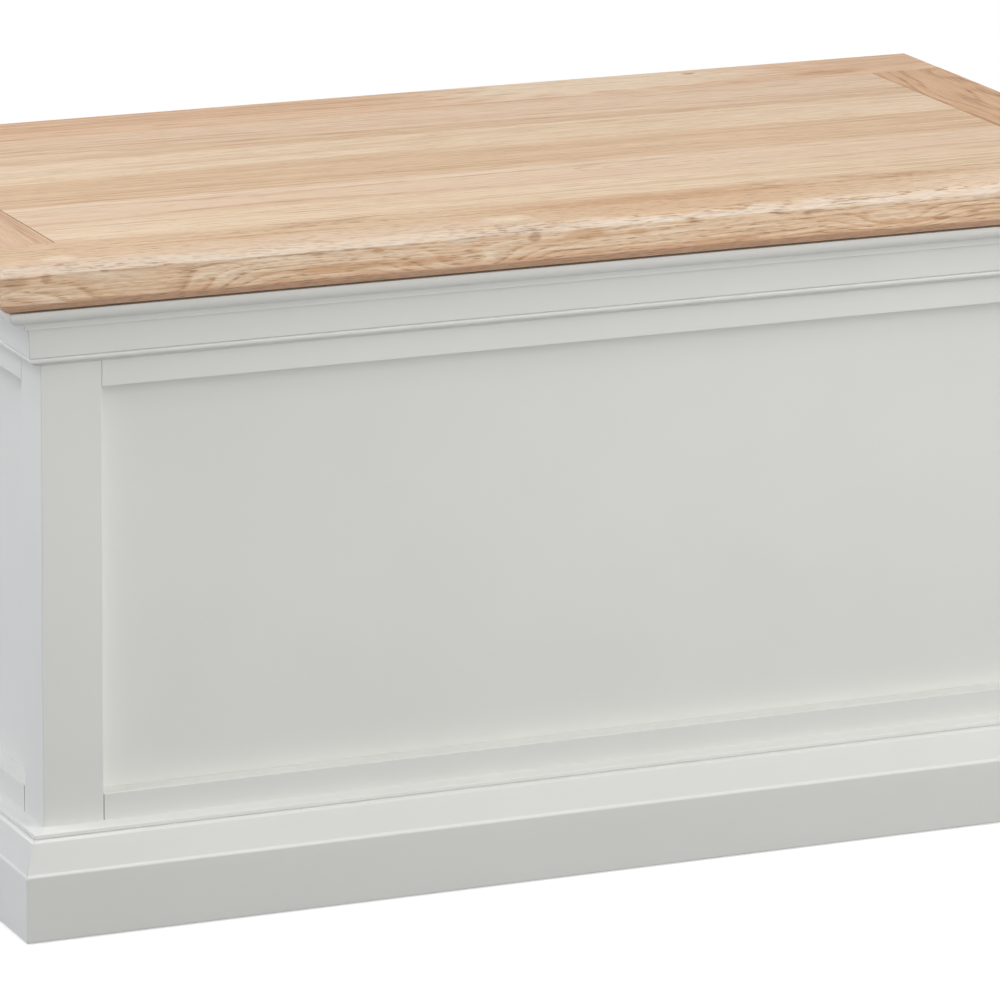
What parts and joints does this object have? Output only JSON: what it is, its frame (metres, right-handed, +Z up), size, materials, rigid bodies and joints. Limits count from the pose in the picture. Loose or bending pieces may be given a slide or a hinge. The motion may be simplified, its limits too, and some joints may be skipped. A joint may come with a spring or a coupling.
{
  "type": "blanket chest",
  "caption": "Painted frame-and-panel blanket chest with moulded crown and plinth, and a hinged oak lid held by telescoping lid stays.",
  "frame": {"origin": "on the floor, under the middle of the lid", "axes": "+Z up, +X along the chest's length, to the right as seen from the front, and +Y from the front to the back"},
  "size_m": [0.9, 0.45, 0.481],
  "materials": {
    "oak": "clear satin lacquer on solid oak",
    "painted_wood": "satin warm pale grey paint on wood",
    "plywood": "sanded and sealed",
    "steel": "satin nickel plate",
    "black_enamel": "satin black enamel",
    "rubber": "moulded, matt",
    "glide_plastic": "moulded, matt"
  },
  "bodies": {
    "carcass": {"post_front_left": "painted_wood", "post_front_right": "painted_wood", "post_rear_left": "painted_wood", "post_rear_right": "painted_wood", "rail_front_bottom": "painted_wood", "rail_front_top": "painted_wood", "rail_rear_bottom": "painted_wood", "rail_rear_top": "painted_wood", "rail_left_bottom": "painted_wood", "rail_left_top": "painted_wood", "rail_right_bottom": "painted_wood", "rail_right_top": "painted_wood", "panel_front": "painted_wood", "panel_rear": "painted_wood", "panel_left": "painted_wood", "panel_right": "painted_wood", "crown_front": "painted_wood", "crown_left": "painted_wood", "crown_right": "painted_wood", "plinth_front": "painted_wood", "plinth_left": "painted_wood", "plinth_right": "painted_wood", "floor_panel": "plywood", "cleat_front": "plywood", "cleat_rear": "plywood", "cleat_left": "plywood", "cleat_right": "plywood", "glide_front_left": "glide_plastic", "glide_front_right": "glide_plastic", "glide_rear_left": "glide_plastic", "glide_rear_right": "glide_plastic", "bumper_left": "rubber", "bumper_right": "rubber", "hinge_fixed_leaf_left": "steel", "hinge_fixed_leaf_right": "steel", "hinge_pin_left": "steel", "hinge_pin_right": "steel", "stay_wall_bracket_left": "steel", "stay_wall_bracket_right": "steel"},
    "lid": {"lid_rail_front": "oak", "lid_rail_rear": "oak", "lid_rail_left": "oak", "lid_rail_right": "oak", "lid_stave_1": "oak", "lid_stave_2": "oak", "lid_stave_3": "oak", "lid_stave_4": "oak", "lid_stave_5": "oak", "hinge_lid_leaf_left": "steel", "hinge_lid_leaf_right": "steel", "stay_lid_bracket_left": "steel", "stay_lid_bracket_right": "steel"},
    "left_cylinder": {"stay_cylinder_left": "black_enamel"},
    "right_cylinder": {"stay_cylinder_right": "black_enamel"},
    "left_rod": {"stay_rod_left": "steel"},
    "right_rod": {"stay_rod_right": "steel"}
  },
  "joints": [
    {"name": "lid_hinge", "type": "hinge", "parent": "carcass", "child": "lid", "pos_m": [0, 0.22175, 0.4475], "axis": [-1, 0, 0], "range_deg": [0, 90]},
    {"name": "left_cylinder_pivot", "type": "hinge", "parent": "carcass", "child": "left_cylinder", "pos_m": [-0.371, 0.12516, 0.22779], "axis": [-1, 0, 0], "range_deg": [0, 45]},
    {"name": "right_cylinder_pivot", "type": "hinge", "parent": "carcass", "child": "right_cylinder", "pos_m": [0.371, 0.12516, 0.22779], "axis": [-1, 0, 0], "range_deg": [0, 45]},
    {"name": "left_rod_pivot", "type": "hinge", "parent": "lid", "child": "left_rod", "pos_m": [-0.371, -0.01806, 0.438], "axis": [-1, 0, 0], "range_deg": [-45, 0]},
    {"name": "right_rod_pivot", "type": "hinge", "parent": "lid", "child": "right_rod", "pos_m": [0.371, -0.01806, 0.438], "axis": [-1, 0, 0], "range_deg": [-45, 0]}
  ],
  "couplings": [
    {"joint": "left_cylinder_pivot", "follows": "lid_hinge", "ratio": 0.5},
    {"joint": "right_cylinder_pivot", "follows": "lid_hinge", "ratio": 0.5},
    {"joint": "left_rod_pivot", "follows": "lid_hinge", "ratio": -0.5},
    {"joint": "right_rod_pivot", "follows": "lid_hinge", "ratio": -0.5}
  ]
}
